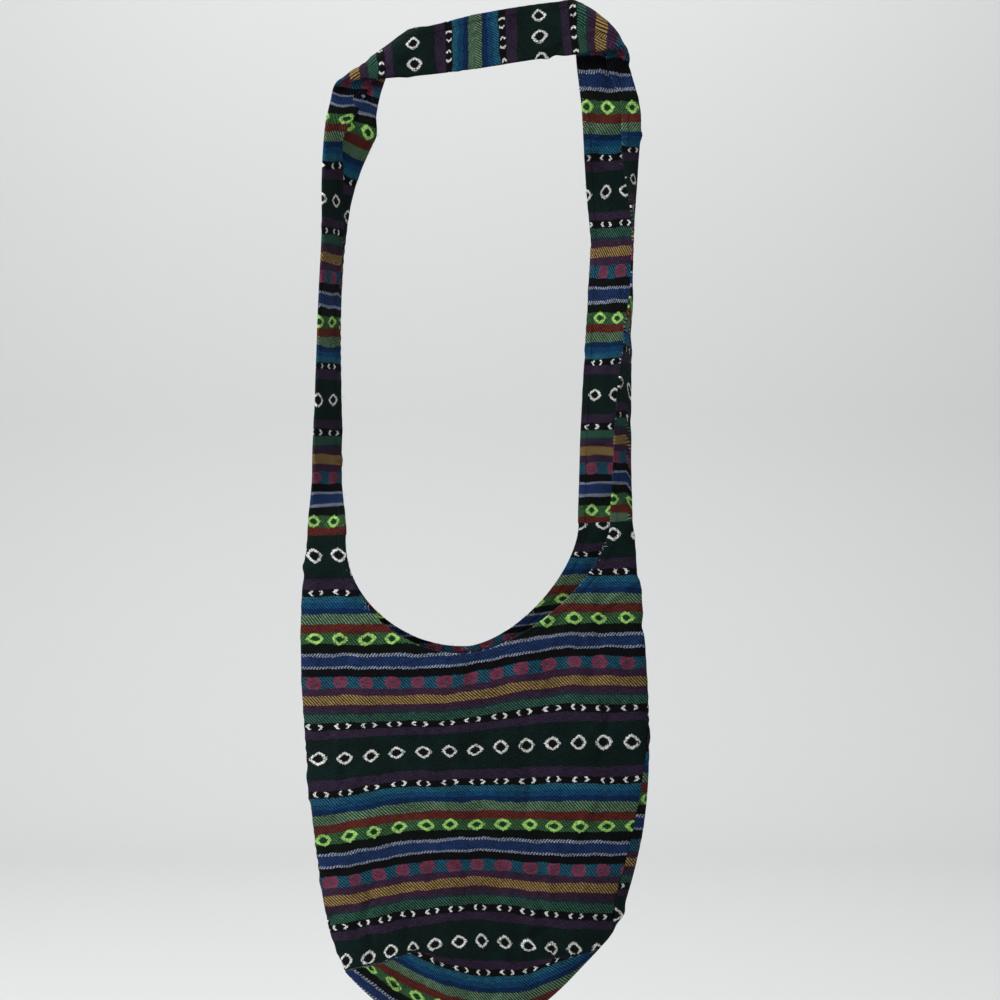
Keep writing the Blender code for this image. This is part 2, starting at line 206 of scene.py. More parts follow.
# Rows and columns of the sheets
NECK_ROWS, BODY_ROWS, HORN_COLUMNS = 52, 118, 96
ROW_CROWDING = 0.9
RISING_ROWS, BEND_ROWS, CROSSING_ROWS = 330, 22, 90
FRONT_COLUMNS, FOLD_COLUMNS, BACK_COLUMNS = 20, 13, 24
FOLD_HALF = 0.06
CHUNK = 4000

# Creases: angles with their spreads, ranges of length and width, bow, counts and heights, seeds
CREASE_ANGLES = ((1.45, 0.25), (0.5, 0.5), (2.6, 0.5))
CREASE_LENGTHS = (0.014, 0.045)
CREASE_WIDTHS = (0.0030, 0.0065)
CREASE_BOW = 6
PANEL_CREASES = (150, 0.0024)
STRAP_CREASES = (60, 0.00192)
PANEL_SEEDS = {1: 11, -1: 23}
STRAP_SEEDS = {-1: 36, 1: 38}

# Puckers at the side seams, the neckline and the hems of the strap: reach, pitch and height
SEAM_PUCKER = (0.012, 0.0125, 0.00040)
NECK_PUCKER = (0.008, 0.0105, 0.00028)
STRAP_PUCKER = (0.009, 0.0115, 0.00032)

# Waves of the puckers and of their strength: rate, wander and its rate
PUCKER_WAVE = (2 * math.pi, 2.1, 0.83)
PUCKER_CHANGE = (0.57, 1.3, 0.31)
PUCKER_STRENGTH = (0.55, 0.45)

# Stretches at both ends where seams hold the cloth flat
PANEL_HOLD = (0.02, 0.06)
STRAP_HOLD = (0.04, 0.05)

# Loose fibres: shape, means and spreads of their directions, curl, steps, and counts by hem
FIBRE_SEED = 5
FIBRE_RADIUS = 0.00014
FIBRE_TAPER = 0.7
FIBRE_RINGS = 6
FIBRE_SIDES = 3
FIBRE_HEADINGS = ((0, 1), (-0.3, 0.5), (0, 1))
FIBRE_CURLS = (0.25, 0.15, 0.25)
FIBRE_STEPS = (0.0004, 0.0011)
NECK_FIBRES = {1: 110, -1: 50}
STRAP_FIBRES = 45
STRAP_HEM = (0.01, 0.99, 400)


class Station(NamedTuple):
    """Cross-section of the folded strap, as seen from the front.

    Places are in half widths of the body and in drops of the strap, other sizes in strap
    widths. The reach of the front leaf is None where the fold is pressed flat.
    """
    across: float
    height: float
    hem_across: float
    hem_height: float
    front_share: float
    front_reach: float = None
    depth: float = 0.0


STATIONS = {-1: (
    Station(-0.995, -0.816, 0.345, 0.0, 0.48, 0.330, -0.014),
    Station(-0.980, -0.709, 0.310, 0.0, 0.46, 0.290, -0.014),
    Station(-0.960, -0.494, 0.262, 0.0, 0.44, 0.205, 0.0),
    Station(-0.940, -0.343, 0.285, -0.028, 0.44, 0.225, 0.028),
    Station(-0.940, -0.219, 0.405, -0.110, 0.36, 0.243, 0.069),
    Station(-0.920, -0.121, 0.590, -0.181, 0.28, 0.245, 0.028),
    Station(-0.889, -0.064, 0.590, -0.172, 0.385, 0.385),
    Station(-0.340, -0.014, -0.028, 0.542, 0.40),
    Station(0.0, 0.0, 0.0, 0.690, 0.31),
), 1: (
    Station(0.957, -0.843, -0.646, 0.0, 0.33, 0.236),
    Station(0.957, -0.733, -0.613, 0.0, 0.35, 0.194, 0.014),
    Station(0.963, -0.511, -0.549, 0.0, 0.37, 0.056, 0.028),
    Station(0.975, -0.354, -0.538, 0.0, 0.36, 0.028, 0.056),
    Station(1.000, -0.217, -0.660, -0.056, 0.32, 0.194, 0.069),
    Station(1.013, -0.084, -0.757, 0.0, 0.25, 0.250),
    Station(0.950, 0.013, -0.625, 0.076, 0.31, 0.306),
    Station(0.429, 0.024, -0.051, 0.704, 0.31),
    Station(0.0, 0.0, 0.0, 0.690, 0.31),
)}


def smooth(value):
    """Soft step from 0 to 1."""
    value = np.clip(value, 0.0, 1.0)
    return value * value * (3 - 2 * value)


def part_way(value, start, length):
    """Soft step from 0 to 1 over a stretch."""
    return smooth((value - start) / length)


def unheld(place, start, end):
    """0 at both ends, where seams hold the cloth flat, and 1 between."""
    return smooth(place / start) * smooth((1 - place) / end)


def unit(vectors):
    """The vectors at length 1."""
    return vectors / np.maximum(np.linalg.norm(vectors, axis=-1, keepdims=True), LEAST)


def run_along(path):
    """Length of a path up to each of its points."""
    return np.concatenate([[0], np.cumsum(np.linalg.norm(np.diff(path, axis=0), axis=1))])


def curve(knots, values, at):
    """Smooth curve through values at knots."""
    knots = np.asarray(knots, float)
    values = np.asarray(values, float)
    at = np.asarray(at, float)
    step = np.diff(knots)
    slope = np.diff(values) / step
    tangent = np.concatenate([slope[:1], slope, slope[-1:]])
    tangent = (tangent[:-1] + tangent[1:]) / 2
    place = np.clip(np.searchsorted(knots, at, side="right") - 1, 0, len(knots) - 2)
    t = (at - knots[place]) / step[place]
    level = values[place] + (values[place + 1] - values[place]) * smooth(t)
    bow = tangent[place] * (1 - t) - tangent[place + 1] * t
    return level + bow * t * (1 - t) * step[place]


def body_side(v, side):
    """Outline of one side of the body."""
    return side * curve(*OUTLINES[side], v) * HALF, -DROPS[side] - v * BODY_HEIGHT


def dart(across, v, side):
    """Share of the depth that the dart of one corner takes in."""
    along = (1 - side * across) / (2 * DART_LENGTHS[side])
    away = (v - DART_ROW + DART_RISE * along) * BODY_HEIGHT
    fade = np.clip(1 - along, 0, 1) * (along >= 0)
    return DART_DEPTH / (BODY_DEPTH / 4) * fade * np.exp(-(away / DART_SPREAD) ** 2)


def drape(across, v, face):
    """Height of the soft folds on one panel."""
    folds = FRONT_DRAPES if face > 0 else BACK_DRAPES
    lift = sum(share * np.exp(-((across - place) / spread) ** 2) for place, share, spread in folds)
    rows = part_way(v, *DRAPE_START) * (1 - part_way(v, *DRAPE_END))
    return DRAPE_HEIGHT * lift * rows * smooth((1 - across ** 2) / DRAPE_SIDE_FADE)


def body_point(phi, v, face=0):
    """Middle of the cloth; phi runs from the left over the front to the right."""
    across = np.sin(phi)
    share = (across + 1) / 2
    left_x, left_z = body_side(v, -1)
    right_x, right_z = body_side(v, 1)
    x = left_x + (right_x - left_x) * share
    z = left_z + (right_z - left_z) * share - BOTTOM_SAG * v * (1 - across ** 2)
    closing = np.sqrt(np.clip(1 - np.clip((v - CLOSING) / (1 - CLOSING), 0, 1) ** 2, 0, 1))
    depth = (HORN_DEPTH + (BODY_DEPTH - HORN_DEPTH) * smooth(v / DEEPEST)) / 2 * closing
    corner = part_way(v, *CORNER_ROWS) * part_way(np.abs(across), *CORNER_ACROSS)
    apart = SEAM_GAP / 2 * part_way(v, *SEAM_ROWS) + corner * CLOTH_THICKNESS / 2
    pinch = np.minimum(dart(across, v, -1) + dart(across, v, 1), MOST_PINCH)
    y = -np.cos(phi) * depth * (1 - pinch) - face * (apart + drape(across, v, face))
    return np.stack([x, y, z], -1)


def turn_at(length, start, direction, v):
    """Angle round the body at a given cloth length from a start angle."""
    angles = start + direction * np.linspace(0, SEARCH_TURN, SAMPLES)
    return np.interp(length, run_along(body_point(angles, np.full(SAMPLES, v))), angles)


def left_seam(face):
    """Angle of the left side seam, as each panel counts it."""
    return -QUARTER if face > 0 else 1.5 * math.pi


def right_seam(v):
    """Angle of the right side seam, which starts behind the edge."""
    top = turn_at(SEAM_SHIFT, QUARTER, 1, 0.0) - QUARTER
    lead = curve((0, *LEAD_ROWS), (-top, *LEAD_ANGLES), v)
    return QUARTER - lead


def neck_edges(face, angle):
    """Row and both edge angles of the mouth; angle runs from the horns to the middle."""
    drop = NECK_DROP - (0 if face > 0 else BACK_NECK_RISE)
    v = drop / (BODY_HEIGHT + BOTTOM_SAG) * math.sin(angle)
    tops = (
        turn_at(STRAP_WIDTH / 2, -QUARTER, face, 0.0),
        turn_at(STRAP_WIDTH / 2, float(right_seam(0.0)), -face, 0.0),
    )
    spreads = (
        abs(math.cos(angle)),
        (1 - math.sin(angle) ** SQUARENESS) ** (1 / SQUARENESS),
    )
    edges = []
    for top, spread in zip(tops, spreads):
        turn = math.asin(NECK_CENTRE + (math.sin(top) - NECK_CENTRE) * spread)
        edges.append(turn if face > 0 else math.pi - turn)
    return v, *edges


def edge_turn(phi, v, direction):
    """Angle of a panel's edge, moved off the seam by half of the gap."""
    row = min(v, LOWEST_ROW)
    ends = body_point(np.array([phi - STEP_ANGLE, phi + STEP_ANGLE]), np.full(2, row))
    speed = np.linalg.norm(ends[1] - ends[0]) / (2 * STEP_ANGLE)
    return phi + direction * SEAM_GAP / 2 / speed


def panel_grid(face):
    """Each row of one panel, with its angles on both sides of the mouth."""
    rows = [neck_edges(face, QUARTER * step / (NECK_ROWS - 1)) for step in range(NECK_ROWS)]
    deep, middle, _ = rows[-1]
    for step in range(1, BODY_ROWS):
        share = math.sin(QUARTER * step / (BODY_ROWS - 1)) ** ROW_CROWDING
        rows.append((deep + (1 - deep) * share, middle, middle))
    grid = []
    for v, left, right in rows:
        first = np.linspace(edge_turn(left_seam(face), v, face), left, HORN_COLUMNS)
        second = np.linspace(right, edge_turn(float(right_seam(v)), v, -face), HORN_COLUMNS)
        grid.append((v, first, second))
    return grid


def picture(point):
    """Pixel of the photograph where the camera sees a point."""
    scale = CAMERA_DISTANCE / (CAMERA_DISTANCE + point[:, 1])
    x = CAMERA_X + (point[:, 0] - CAMERA_X) * scale
    z = CAMERA_Z + (point[:, 2] - CAMERA_Z) * scale
    return ORIGIN_X + x / PIXEL, ORIGIN_Y - z / PIXEL


def along_knots(knots, at):
    """Smooth curve through knots, level beyond them."""
    return curve(*zip(*knots), np.clip(at, knots[0][0], knots[-1][0]))


# Weave of the panels: motifs count across, bands count down the cloth in pixels of the photograph

def row_sag(band, x):
    """How far a band of the front hangs below its right end."""
    low = part_way(band, *SAG_CHANGE)
    upper = UPPER_SAG * (1 - part_way(x, *UPPER_SLOPE))
    lower = LOWER_SAG * (1 - part_way(x, *LOWER_SLOPE))
    arch = ARCH_RISE * part_way(band, *ARCH_CHANGE) * np.exp(-((x - ARCH_CENTRE) / ARCH_SPREAD) ** 2)
    return upper * (1 - low) + lower * low - arch


def upper_band(x, y, rise=0.0):
    """Band above the darts, corrected for the sag in passes."""
    straight = y - FIRST_BAND_Y + rise
    band = straight
    for _ in range(SAG_PASSES):
        band = straight - row_sag(band, x)
    return band


def lower_band(x, y):
    """Bands below the darts, which sag like a smile."""
    bow = np.where(x < SMILE_CENTRE, *SMILE_BOWS) * (x - SMILE_CENTRE) ** 2
    return SMILE_BAND + SMILE_RATE * (y + bow - SMILE_Y)


def below_darts(x, y):
    """Pixels below the two darts and the middle between them."""
    left, right = (y - np.interp(x, *zip(*path)) for path in (LEFT_DART, RIGHT_DART))
    to_middle = part_way(x, *LEFT_DART_END)
    to_right = part_way(x, *RIGHT_DART_START)
    return (left * (1 - to_middle) + (y - MIDDLE_DART_Y) * to_middle) * (1 - to_right) + right * to_right


def panel_weave(face, points):
    """Motif and band of the weave at points of a panel."""
    x, y = picture(points)
    motif = (x - along_knots(MOTIF_CENTRES, y)) / along_knots(MOTIF_PITCHES, y)
    if face < 0:
        return motif + BACK_SHIFT, upper_band(x, y, along_knots(BACK_RISE, y))
    band = upper_band(x, y)
    middle = (x > LEFT_DART[-1][0]) & (x < RIGHT_DART[0][0])
    share = smooth(below_darts(x, y) / np.where(middle, *DART_EDGES) + 0.5)
    return motif, band + (lower_band(x, y) - band) * share


# Cloth sheets

def nearest_on(path, points):
    """Distance of points from a path, and the run of the path there."""
    run = run_along(path)
    distance = np.zeros(len(points))
    place = np.zeros(len(points))
    for first in range(0, len(points), CHUNK):
        part = slice(first, first + CHUNK)
        gaps = np.linalg.norm(points[part, None, :] - path[None, :, :], axis=2)
        distance[part] = gaps.min(axis=1)
        place[part] = run[gaps.argmin(axis=1)]
    return distance, place


def creases(points, seed, count, height):
    """Faint creases of worn cloth: long soft ridges at random places."""
    source = random.Random(seed)
    low, high = points.min(axis=0), points.max(axis=0)
    lift = np.zeros(len(points))
    for _ in range(count):
        x = source.uniform(low[0], high[0])
        z = source.uniform(low[2], high[2])
        turn = source.choice([source.gauss(*angle) for angle in CREASE_ANGLES])
        length = source.uniform(*CREASE_LENGTHS)
        width = source.uniform(*CREASE_WIDTHS)
        bow = source.uniform(-CREASE_BOW, CREASE_BOW)
        along = (points[:, 0] - x) * math.cos(turn) + (points[:, 2] - z) * math.sin(turn)
        off = (points[:, 2] - z) * math.cos(turn) - (points[:, 0] - x) * math.sin(turn) + bow * along ** 2
        strength = source.uniform(-1, 1) * height
        lift += strength * np.exp(-(along / length) ** 2 - (off / width) ** 2)
    return lift


def wander(count, rate, size, slow, shift=0.0):
    """Wave that wanders off its own pitch."""
    return np.sin(count * rate + size * np.sin(count * slow) + shift)


def pucker(distance, run, reach, pitch, height):
    """Short waves across a seam, where its thread draws the cloth in."""
    wave = wander(run / pitch, *PUCKER_WAVE, distance / reach)
    mean, change = PUCKER_STRENGTH
    strength = mean + change * wander(run / pitch, *PUCKER_CHANGE)
    return height * strength * wave * np.exp(-(distance / reach) ** 2)


def collect_faces(blocks):
    """Places and four-sided faces of the blocks, with shared places counted once."""
    lookup = {}
    faces = []
    for block in blocks:
        ids = []
        for row in block:
            keys = [(round(float(a), 7), round(float(b), 7)) for a, b in row]
            ids.append([lookup.setdefault(key, len(lookup)) for key in keys])
        for low, high in zip(ids[:-1], ids[1:]):
            for left in range(len(low) - 1):
                corners = (low[left], low[left + 1], high[left + 1], high[left])
                ring = tuple(dict.fromkeys(corners))
                if len(ring) > 2:
                    faces.append(ring)
    return np.array(list(lookup)), faces


def find_rim(faces, point, normal):
    """Edges that only one face has, and unit directions out of the cloth at their ends."""
    edges = {pair for ring in faces for pair in zip(ring, ring[1:] + ring[:1])}
    rim = [(one, two) for one, two in sorted(edges) if (two, one) not in edges]
    ids = sorted({corner for pair in rim for corner in pair})
    place = {corner: index for index, corner in enumerate(ids)}
    push = np.zeros((len(ids), 3))
    for one, two in rim:
        side = unit(np.cross(point[two] - point[one], normal[one]))
        push[place[one]] += side
        push[place[two]] += side
    return rim, ids, place, unit(push)


def add_uv(mesh, name, values):
    """Layer of texture coordinates from two numbers a vertex."""
    layer = mesh.uv_layers.new(name=name)
    loops = np.zeros(len(mesh.loops), dtype=np.int32)
    mesh.loops.foreach_get("vertex_index", loops)
    layer.data.foreach_set("uv", values[loops].astype(np.float32).ravel())


def link_mesh(name, points, faces):
    """New object of the scene from points and faces."""
    mesh = bpy.data.meshes.new(name)
    mesh.from_pydata(np.asarray(points).tolist(), [], faces)
    mesh.shade_smooth()
    item = bpy.data.objects.new(name, mesh)
    bpy.context.collection.objects.link(item)
    return item


class Sheet:
    """A cloth with two faces and a rounded edge, over places on its middle surface."""

    def __init__(self, blocks, surface):
        self.places, self.faces = collect_faces(blocks)
        a, b = self.places.T
        self.point = surface(a, b)
        along_a = surface(a + STEP_ANGLE, b) - surface(a - STEP_ANGLE, b)
        low, high = np.clip(b - STEP_ANGLE, 0, 1), np.clip(b + STEP_ANGLE, 0, 1)
        self.normal = unit(np.cross(along_a, surface(a, high) - surface(a, low)))

    def build(self, name, weave, hem, lift):
        """Mesh of the cloth; hem is the distance from the hemmed edge and the run along it."""
        distance, run = hem
        doubled = HEM_EXTRA * (1 - smooth((distance - HEM_WIDTH) / HEM_STEP + 0.5))
        half = (CLOTH + doubled)[:, None] / 2
        middle = self.point + self.normal * lift[:, None]
        rim, ids, place, push = find_rim(self.faces, self.point, self.normal)
        edge = middle[ids] + push * half[ids] * RIM_REACH
        count = len(self.places)
        faces = list(self.faces)
        faces += [tuple(corner + count for corner in reversed(ring)) for ring in self.faces]
        for one, two in rim:
            mid_one, mid_two = 2 * count + place[one], 2 * count + place[two]
            faces.append((two, one, mid_one, mid_two))
            faces.append((mid_two, mid_one, one + count, two + count))
        half_cloth = self.normal * half
        item = link_mesh(name, np.concatenate([middle + half_cloth, middle - half_cloth, edge]), faces)
        motif, band = weave
        layers = {"weave": (motif, band / REPEAT), "hem": (run * CENTIMETRES, distance * CENTIMETRES)}
        for layer, values in layers.items():
            pairs = np.stack(values, -1)
            add_uv(item.data, layer, np.concatenate([pairs, pairs, pairs[ids]]))
        return item


def build_panel(name, face):
    """One panel, and the path of its neckline."""
    grid = panel_grid(face)
    horns, body = grid[:NECK_ROWS], grid[NECK_ROWS - 1:]
    blocks = [
        [[(phi, v) for phi in first] for v, first, _ in horns],
        [[(phi, v) for phi in second] for v, _, second in horns],
        [[(phi, v) for phi in [*first, *second[1:]]] for v, first, second in body],
    ]

    def surface(phi, v):
        return body_point(phi, v, face)

    sheet = Sheet(blocks, surface)
    neck = [(first[-1], v) for v, first, _ in horns]
    neck += [(second[0], v) for v, _, second in horns[::-1]]
    neckline = surface(*np.array(neck).T)
    hem = nearest_on(neckline, sheet.point)
    lift = creases(sheet.point, PANEL_SEEDS[face], *PANEL_CREASES)
    for seam in ([(first[0], v) for v, first, _ in grid], [(second[-1], v) for v, _, second in grid]):
        lift += pucker(*nearest_on(surface(*np.array(seam).T), sheet.point), *SEAM_PUCKER)
    lift += pucker(*hem, *NECK_PUCKER)
    lift *= unheld(sheet.places[:, 1], *PANEL_HOLD)
    return sheet.build(name, panel_weave(face, sheet.point), hem, lift), neckline


class Arm:
    """Fold of the flat strap over one of the arms that hold it."""

    def __init__(self, across, height, tilt, bulge):
        tilt = math.radians(tilt)
        self.bulge = bulge
        self.along = np.array([math.cos(tilt), math.sin(tilt)])
        self.out = np.array([-math.sin(tilt), math.cos(tilt)])
        self.centre = np.array([across * HALF, height]) - self.out * (ARM_RADIUS + 2 * FOLD_RADIUS)

    def unfold(self, point):
        """Place on the flat strap of a point that lies in front of the arm."""
        offset = point - self.centre
        back = math.pi * ARM_RADIUS - offset @ self.out
        return self.centre + self.along * (offset @ self.along) + self.out * back

    def fold(self, point, lift):
        """Place in space of a point of the flat strap, lifted off the arm."""
        offset = point - self.centre
        slide = offset @ self.along
        run = offset @ self.out
        turn = np.clip(run / ARM_RADIUS, 0, math.pi)
        radius = ARM_RADIUS + lift
        past = run - math.pi * ARM_RADIUS
        reach = np.where(run <= 0, run, np.where(past >= 0, -past, radius * np.sin(turn)))
        near = np.exp(-((run - QUARTER * ARM_RADIUS) / CORNER_REACH) ** 2)
        reach = reach + self.bulge * near * np.clip(1 - (slide / CORNER_HALF) ** 2, 0, 1)
        flat = self.centre + slide[:, None] * self.along + reach[:, None] * self.out
        return np.stack([flat[:, 0], radius * np.cos(turn), flat[:, 1]], -1)


def horn_tops(side, across):
    """Top of the two horns on one side, from front hem to back hem."""
    seam = -QUARTER if side < 0 else float(right_seam(0.0))
    from_seam = (0.5 - across) * STRAP_WIDTH
    front = turn_at(np.clip(from_seam, 0, None), seam, -side, 0.0)
    back = turn_at(np.clip(-from_seam, 0, None), seam, side, 0.0)
    phi = np.where(from_seam >= 0, front, back)
    return body_point(phi, np.zeros_like(phi))


def lean(station, reach, leaf):
    """Angle at which a leaf stands off the flat, from how far out its hem lies."""
    return 0.0 if station.front_reach is None else math.acos(min(reach / leaf, 1.0))


class Strap:
    """Middle surface of one half of the strap, across it and along it from 0 to 1.

    The front leaf leans with the back leaf on the left and away from it on the right.
    """

    def __init__(self, side):
        drop, stations = DROPS[side], STATIONS[side]
        self.side = side
        self.arm = arm = Arm(*ARMS[side])
        edges = []
        hems = []
        for s in stations:
            edge = np.array([s.across * HALF, s.height * drop])
            hem = edge + np.array([s.hem_across, s.hem_height]) * STRAP_WIDTH
            edges.append(arm.unfold(edge) if s.front_reach is None else edge)
            hems.append(arm.unfold(hem) if s.front_reach is None else hem)
        middles = [(edge + hem) / 2 for edge, hem in zip(edges, hems)]
        steps = [np.linalg.norm(two - one) for one, two in zip(middles[:-1], middles[1:])]
        first = middles[0][1] + drop
        self.length = first + sum(steps)
        self.knots = np.concatenate([[0], np.cumsum([first, *steps])]) / self.length
        foot = np.array([0.0, -drop])
        self.edges = np.array([edges[0] * (1, 0) + foot, *edges])
        self.hems = np.array([hems[0] * (1, 0) + foot, *hems])
        opened = [stations[0], *stations]
        self.shares = [s.front_share for s in opened]
        self.depths = [s.depth * STRAP_WIDTH for s in opened]
        self.front_leans = [side * lean(s, s.front_reach, s.front_share) for s in opened]
        widths = [math.hypot(s.hem_across, s.hem_height) for s in opened]
        self.back_leans = [lean(s, width, 1 - s.front_share) for s, width in zip(opened, widths)]
        pressed = [s.front_reach for s in opened].index(None)
        self.press_from, self.press_to = self.knots[pressed - 2], self.knots[pressed - 1]

    def middle_line(self, along):
        """Place of the fold, the direction from it to the hem, and the front leaf's share."""
        edge = np.stack([curve(self.knots, track, along) for track in self.edges.T], -1)
        hem = np.stack([curve(self.knots, track, along) for track in self.hems.T], -1)
        return edge, unit(hem - edge), curve(self.knots, self.shares, along)

    def flat_run(self, across, along):
        """How far a place on the flat strap lies past the start of the arm."""
        edge, inward, share = self.middle_line(along)
        reach = np.abs(across - share) * STRAP_WIDTH
        return (edge + inward * reach[:, None] - self.arm.centre) @ self.arm.out

    def bend(self, across):
        """Where along the strap the bend over the arm starts and ends."""
        search = np.linspace(BEND_FROM, 1, SAMPLES)
        run = self.flat_run(np.full(SAMPLES, across), search)
        return np.interp([0, math.pi * ARM_RADIUS], run, search)

    def section(self, across, share, front, back):
        """Folded cross-section: distance from the fold and height off the flat."""
        bend = math.pi - front - back
        leaf = share * STRAP_WIDTH - FOLD_RADIUS * bend / 2
        run = across * STRAP_WIDTH - leaf
        turn = math.pi - front - np.clip(run / FOLD_RADIUS, 0, bend)
        on_front = np.clip(-run, 0, None)
        on_back = np.clip(run - FOLD_RADIUS * bend, 0, None)
        out = FOLD_RADIUS * (1 - np.sin(turn)) + on_front * np.cos(front) + on_back * np.cos(back)
        lift = FOLD_RADIUS * (1 + np.cos(turn)) - on_front * np.sin(front) + on_back * np.sin(back)
        return out, lift

    def surface(self, across, along):
        """Points of the strap, held by the horns at its foot and by the arm at its top."""
        along = np.clip(along, 0, 1)
        edge, inward, share = self.middle_line(along)
        loose = 1 - smooth((along - self.press_from) / (self.press_to - self.press_from))
        front = np.clip(curve(self.knots, self.front_leans, along), -MOST_LEAN, MOST_LEAN) * loose
        back = np.clip(curve(self.knots, self.back_leans, along), 0, MOST_LEAN) * loose
        out, lift = self.section(across, share, front, back)
        pressed = self.arm.fold(edge + inward * out[:, None], lift)
        depth = curve(self.knots, self.depths, along) + lift
        hanging = np.stack([pressed[:, 0], depth, pressed[:, 2]], -1)
        point = pressed + (hanging - pressed) * loose[:, None]
        rise = along * self.length
        start = horn_tops(self.side, across)
        start[:, 2] += rise + SEAM_GAP
        point = start + (point - start) * smooth(rise / HORN_BLEND)[:, None]
        point[:, 0] += self.side * SEAM_GAP / 2 * part_way(along, *JOIN_STRETCH)
        return point


def strap_weave(side, strap, across, along):
    """Motif and band of the strap, by its length from the seam at the horn."""
    total = strap.length / PIXEL
    length = along * strap.length / PIXEL
    seam, rising, crossing, motif_knots = STRAP_BANDS[side]
    knots = [(seam - y, band) for y, band in rising]
    knots += [(total - abs(ORIGIN_X - x), band) for x, band in crossing]
    band = along_knots(knots, length)
    if side > 0:
        band = band + along_knots(RIGHT_LEAF_RISE, length) * (1 - part_way(across, *RIGHT_LEAF_CHANGE))
    else:
        band = band + along_knots(LEFT_LEAF_RISE, length) * part_way(across, *LEFT_LEAF_CHANGE)
        band = band - along_knots(LEFT_LEAF_FALL, length) * (1 - part_way(across, *LEFT_HEM_CHANGE))
    return (across - along_knots(motif_knots, along)) / STRAP_MOTIF, band


def build_strap(name, side):
    """One half of the strap, with rows that follow the bend over the arm, and its two hems."""
    strap = Strap(side)
    share = float(np.mean(strap.shares[:-2]))
    front = np.linspace(0, share - FOLD_HALF, FRONT_COLUMNS)
    fold = np.linspace(share - FOLD_HALF, share + FOLD_HALF, FOLD_COLUMNS)
    back = np.linspace(share + FOLD_HALF, 1, BACK_COLUMNS)
    columns = [*front, *fold[1:], *back[1:]]
    lines = []
    for across in columns:
        start, end = strap.bend(across)
        bend = np.linspace(start, end, BEND_ROWS)
        crossing = np.linspace(end, 1, CROSSING_ROWS)
        lines.append([*np.linspace(0, start, RISING_ROWS), *bend[1:], *crossing[1:]])
    block = [[(across, along) for across, along in zip(columns, row)] for row in zip(*lines)]
    sheet = Sheet([block], strap.surface)
    across, along = sheet.places.T
    distance = np.minimum(across, 1 - across) * STRAP_WIDTH
    run = along * strap.length
    lift = creases(sheet.point, STRAP_SEEDS[side], *STRAP_CREASES)
    lift += pucker(distance, run, *STRAP_PUCKER)
    lift *= unheld(along, *STRAP_HOLD)
    item = sheet.build(name, strap_weave(side, strap, across, along), (distance, run), lift)
    steps = np.linspace(*STRAP_HEM)
    return item, [strap.surface(np.full(len(steps), hem), steps) for hem in (0.0, 1.0)]


def build_fibres(name, paths):
    """Short loose fibres that stand off the hems; each path comes with its count of fibres."""
    source = random.Random(FIBRE_SEED)
    points = []
    faces = []
    for path, count in paths:
        for _ in range(count):
            at = path[source.randrange(1, len(path) - 1)]
            heading = np.array([source.gauss(*way) for way in FIBRE_HEADINGS])
            curl = np.array([source.gauss(0, spread) for spread in FIBRE_CURLS])
            step = source.uniform(*FIBRE_STEPS)
            for ring in range(FIBRE_RINGS):
                heading = unit(heading) + curl
                radius = FIBRE_RADIUS * (1 - FIBRE_TAPER * ring / FIBRE_RINGS)
                side = unit(np.cross(heading, (0.0, 1.0, 0.0)))
                rise = unit(np.cross(side, heading))
                first = len(points)
                low = first - FIBRE_SIDES
                for corner in range(FIBRE_SIDES):
                    turn = 2 * math.pi * corner / FIBRE_SIDES
                    points.append(at + radius * (side * math.cos(turn) + rise * math.sin(turn)))
                    if ring:
                        other = (corner + 1) % FIBRE_SIDES
                        faces.append((low + corner, low + other, first + other, first + corner))
                at = at + unit(heading) * step
    return link_mesh(name, points, faces)


# Materials

# Start of each band, its mean colour as displayed, and how far its two yarns differ
BANDS = (
    (0, (4, 4, 7), 0.1),
    (3.6, (21, 67, 86), 0.60),
    (10.5, (10, 52, 83), 0.50),
    (15.5, (6, 32, 64), 0.40),
    (21.5, (65, 87, 67), 0.85),
    (31.5, (73, 29, 24), 0.45),
    (40.5, (40, 70, 42), 0.60),
    (51.5, (3, 8, 6), 0.15),
    (60.7, (96, 103, 117), 0.98),
    (63.4, (20, 38, 72), 0.45),
    (73.2, (96, 103, 117), 0.98),
    (75.9, (4, 4, 8), 0.1),
    (84.5, (20, 60, 76), 0.65),
    (96.5, (46, 27, 46), 0.40),
    (104.0, (102, 83, 50), 0.92),
    (113.5, (44, 24, 40), 0.40),
    (119.0, (30, 34, 45), 0.35),
    (123.0, (31, 61, 50), 0.80),
    (132.3, (4, 4, 7), 0.1),
    (140.3, (36, 26, 43), 0.35),
    (149.0, (5, 22, 20), 0.40),
    (193.5, (36, 26, 43), 0.35),
    (204.3, (4, 4, 7), 0.1),
)
WHITE_YARN = (196, 198, 192)
PINK_YARN = (101, 43, 62)
HEATHER_YARN = (60, 44, 60)
NEON_YARN = (138, 182, 96)
LEAF_YARN = (18, 50, 24)
CENTRE_YARN = (6, 8, 10)
STITCH_THREAD = (24, 26, 30)
DARK_FIBRE = (44, 44, 52)

# Motifs in pixels: rings by band, half sizes and hollow share, then arrows and dots
DIAMOND = (171, (8.2, 7.5), 0.65)
NEON = (46.6, (8.6, 6.3), 0.52)
RING_ROUNDNESS = 0.55
RING_EDGE = 0.06
ARROW_BAND = 136.3
ARROW_REACH = 6.8
ARROW_SLOPE = 0.9
ARROW_STROKE = 1.4
ARROW_RISE = 2.7
ARROW_EDGE = 0.3
DOT_BAND = 90.4
DOT_SQUASH = 1.12
DOT_RADIUS = 7.4
DOT_HOLLOW = 4.9
DOT_EDGE = 0.4
DOT_CUT = (5.9, 0.2)

